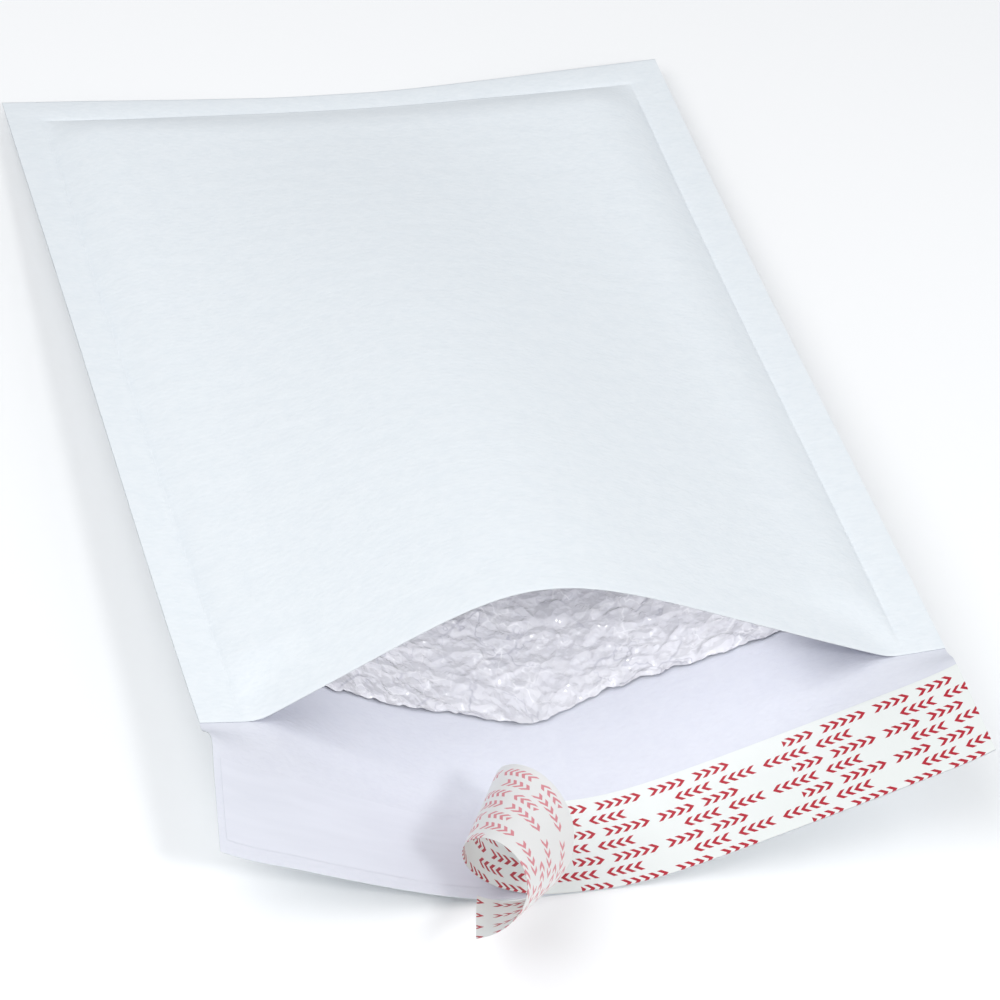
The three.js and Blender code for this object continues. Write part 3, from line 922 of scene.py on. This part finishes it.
def film_material():
    material, tree, shader = new_material("bubble_film")
    places = sheet_places(tree)
    haze = noise_node(tree, places, HAZE_SCALE, detail=4.0)
    colour = ramp(tree, haze, 0.35, 0.65, HAZE_DARK, HAZE_LIGHT)
    # Painted shade in the creases, then whitened film and painted highlights along the lighter
    # folds.
    colour = mixed(tree, fold_lines(tree, places, CREASE_SHADE_SIZE), colour, PAINTED_CREASE_SHADE)
    colour = mixed(tree, fold_lines(tree, places, FOLD_HIGHLIGHT_SIZE), colour, WHITENED_FOLD_AND_PAINTED_HIGHLIGHT)
    tree.links.new(colour, shader.inputs["Base Color"])
    shader.inputs["Roughness"].default_value = 0.3
    shader.inputs["Coat Weight"].default_value = 1.0
    shader.inputs["Coat Roughness"].default_value = 0.12
    shader.inputs["Coat IOR"].default_value = 1.8
    large = facets(tree, places, LARGE_CRUMPLE)
    small = facets(tree, places, SMALL_CRUMPLE)
    crumple = math_node(tree, "MULTIPLY_ADD", small, SMALL_SHARE, large)
    bump(tree, shader, crumple, 0.2, 0.001)
    bump(tree, shader, crumple, 1.0, 0.004, layer="Coat Normal")
    return material


film = film_material()
for wall in lining:
    wall.data.materials.append(film)


# %% Adhesive material
STREAK_SCALE = 300
STREAK_STRETCH = (0.15, 1.0, 1.0)
# The band's colours copy the inside paper's darker, lilac tone, so the band carries the same
# painted shade. The streaks are the glue's own.
STREAK_DARK = (0.70, 0.715, 0.785)
STREAK_LIGHT = (0.725, 0.74, 0.81)


def adhesive_material():
    material, tree, shader = new_material("clear_adhesive")
    places = sheet_places(tree)
    streak = noise_node(tree, places, STREAK_SCALE, detail=2.0, stretch=STREAK_STRETCH)
    colour = ramp(tree, streak, 0.3, 0.7, STREAK_DARK, STREAK_LIGHT)
    tree.links.new(colour, shader.inputs["Base Color"])
    shader.inputs["Roughness"].default_value = 0.35
    bump(tree, shader, streak, 0.15, 0.0003)
    return material


adhesive.data.materials.append(adhesive_material())

# %% [markdown]
# ### Release liner
#
# The real strip is printed in rows, every other row upside down. Here each row is a line of
# small chevrons in groups, pointing one way in one row and the other way in the next. The
# pattern is plain arithmetic on the UV map, kept in one node group, because the printed face
# shows it in full red and the back shows it faintly through the paper.

# %% Printed rows as a node group, with lengths in metres
ROW_PITCH = 0.00466
FIRST_ROW = -0.0170
MARK_HEIGHT = 0.0029
RUN_PERIOD = 0.0638
RUN_START = -0.0070
MARKS_IN_RUN = 20
MARK_PITCH = 0.00249
MARK_STROKE = 0.5
MARK_LEAN = 1.3
LEFT_OUT = (4, 10, 15)


def printed_rows():
    group = bpy.data.node_groups.new("printed_rows", "ShaderNodeTree")
    group.interface.new_socket("Places", in_out="INPUT", socket_type="NodeSocketVector")
    group.interface.new_socket("Ink", in_out="OUTPUT", socket_type="NodeSocketFloat")
    start = group.nodes.new("NodeGroupInput")
    end = group.nodes.new("NodeGroupOutput")
    split = group.nodes.new("ShaderNodeSeparateXYZ")
    group.links.new(start.outputs["Places"], split.inputs[0])
    u, v = split.outputs[0], split.outputs[1]

    def do(operation, a, b=None, c=None):
        return math_node(group, operation, a, b, c)

    rows = do("DIVIDE", do("SUBTRACT", v, FIRST_ROW), ROW_PITCH)
    row = do("FLOOR", rows)
    height = do("DIVIDE", do("MULTIPLY", do("FRACT", rows), ROW_PITCH), MARK_HEIGHT)
    in_row = do("MULTIPLY", do("LESS_THAN", height, 1.0), do("LESS_THAN", row, 0.5))
    odd = do("FRACT", do("MULTIPLY", row, 0.5))
    way = do("SUBTRACT", 1.0, do("MULTIPLY", odd, 4.0))
    place = do("FRACT", do("ADD", do("DIVIDE", do("SUBTRACT", u, RUN_START), RUN_PERIOD), odd))
    marks = do("DIVIDE", do("MULTIPLY", place, RUN_PERIOD), MARK_PITCH)
    from_middle = do("ABSOLUTE", do("SUBTRACT", height, 0.5))
    leaning = do("MULTIPLY_ADD", do("MULTIPLY", from_middle, MARK_LEAN), way, marks)
    cell = do("FLOOR", leaning)
    stroke = do("LESS_THAN", do("FRACT", leaning), MARK_STROKE)
    in_run = do("COMPARE", cell, (MARKS_IN_RUN - 1) / 2, MARKS_IN_RUN / 2)
    turned_cell = do("SUBTRACT", do("MULTIPLY", odd, 2.0 * (MARKS_IN_RUN - 1)), cell)
    counted = do("ABSOLUTE", turned_cell)
    ink = do("MULTIPLY", do("MULTIPLY", in_row, in_run), stroke)
    for left_out in LEFT_OUT:
        ink = do("MULTIPLY", ink, do("SUBTRACT", 1.0, do("COMPARE", counted, left_out, 0.5)))
    group.links.new(ink, end.inputs["Ink"])
    return group


# %% Liner materials
PRINTED_ROWS = printed_rows()
PRINT_SIDE = {"white": (0.81, 0.84, 0.82), "ink": (0.45, 0.011, 0.028), "strength": 1.0}
BACK_SIDE = {"white": (0.80, 0.80, 0.79), "ink": (0.66, 0.15, 0.19), "strength": 0.85}
GRAIN_SCALE = 500


def liner_material(name, white, ink, strength):
    material, tree, shader = new_material(name)
    places = sheet_places(tree)
    rows = tree.nodes.new("ShaderNodeGroup")
    rows.node_tree = PRINTED_ROWS
    tree.links.new(places, rows.inputs["Places"])
    mask = math_node(tree, "MULTIPLY", rows.outputs["Ink"], strength)
    tree.links.new(mixed(tree, mask, white, ink), shader.inputs["Base Color"])
    shader.inputs["Roughness"].default_value = 0.45
    grain = noise_node(tree, places, GRAIN_SCALE, detail=2.0)
    bump(tree, shader, grain, 0.1, 0.0002)
    return material


liner.data.materials.append(liner_material("liner_print", **PRINT_SIDE))
liner.data.materials.append(liner_material("liner_back", **BACK_SIDE))

# %% [markdown]
# ## Floor and light
#
# The photograph is a bright catalogue picture, so the light is broad and soft: a large softbox
# above on the left, a weak one on the right that gives the curl its soft shadow, a small card in
# front for the glints on the film, and a pale floor. Thin paper also lets daylight through into
# the pocket. A see-through paper material would be slow and noisy to render, so weak lights just
# under the front panel do that work, and the camera doesn't see them.

# %% Floor
FLOOR_SIZE = 6.0
FLOOR_DROP = 0.0002
FLOOR_COLOUR = (0.98, 0.985, 0.99, 1)


def make_floor():
    mesh = bpy.data.meshes.new("floor")
    bm = bmesh.new()
    bmesh.ops.create_grid(bm, x_segments=1, y_segments=1, size=FLOOR_SIZE / 2)
    bm.to_mesh(mesh)
    bm.free()
    floor = bpy.data.objects.new("floor", mesh)
    bpy.context.scene.collection.objects.link(floor)
    floor.location.z = cad_low.z - FLOOR_DROP
    material, tree, shader = new_material("pale_floor")
    shader.inputs["Base Color"].default_value = FLOOR_COLOUR
    shader.inputs["Roughness"].default_value = 0.9
    floor.data.materials.append(material)


make_floor()

# %% Lights: place and aim in metres, size of the square in metres, and watts
SOFTBOXES = {
    "left_softbox": ((-0.65, -0.3, 1.15), (0, -0.05, 0), 1.1, 8.5),
    "right_softbox": ((1.0, -0.15, 0.8), (0, -0.1, 0), 1.1, 2.4),
    "front_card": ((0.2, -0.9, 0.8), (0, -0.1, 0.02), 0.16, 3.2),
}


def softbox(name, place, aim, size, watts):
    data = bpy.data.lights.new(name, "AREA")
    data.shape = "SQUARE"
    data.size = size
    data.energy = watts
    light = bpy.data.objects.new(name, data)
    bpy.context.scene.collection.objects.link(light)
    light.location = place
    light.rotation_euler = (Vector(aim) - Vector(place)).to_track_quat("-Z", "Y").to_euler()
    return light


for name, settings in SOFTBOXES.items():
    softbox(name, *settings)

# %% Glow in the pocket: middle and width of each light, in millimetres across the sheet
GLOW_PLACES = ((-45.0, 38.0), (-11.0, 26.0), (40.0, 60.0))
GLOW_DEPTH = 64.0
GLOW_SETBACK = 2.0
GLOW_DROP = 6.0
GLOW_WATTS = 2.2


def pocket_glow():
    """The daylight that the thin front panel lets through, as weak lights just under it."""
    for number, (middle, width) in enumerate(GLOW_PLACES, 1):
        u = np.array([middle])
        v = np.array([GLOW_DEPTH / 2 + GLOW_SETBACK])
        place = lifted(front_panel, u, v, -GLOW_DROP)[0] * MM
        up = normals(front_panel, u, v)[0]
        across = (front_panel(u + 1, v) - front_panel(u - 1, v))[0]
        across /= np.linalg.norm(across)
        along = np.cross(up, across)
        watts = GLOW_WATTS * width * GLOW_DEPTH * MM * MM
        light = softbox(f"pocket_glow_{number}", (0, 0, 0), (0, 0, -1), width * MM, watts)
        light.data.shape = "RECTANGLE"
        light.data.size_y = GLOW_DEPTH * MM
        light.visible_camera = False
        light.matrix_world = Matrix([*zip(across, along, up, place), (0, 0, 0, 1)])


pocket_glow()

# %% World
SKY_COLOUR = (0.95, 0.97, 1.0, 1)
SKY_STRENGTH = 0.5
world = bpy.data.worlds.new("studio")
bpy.context.scene.world = world
world.use_nodes = True
background = world.node_tree.nodes["Background"]
background.inputs["Color"].default_value = SKY_COLOUR
background.inputs["Strength"].default_value = SKY_STRENGTH
bpy.context.scene.view_settings.view_transform = "Standard"
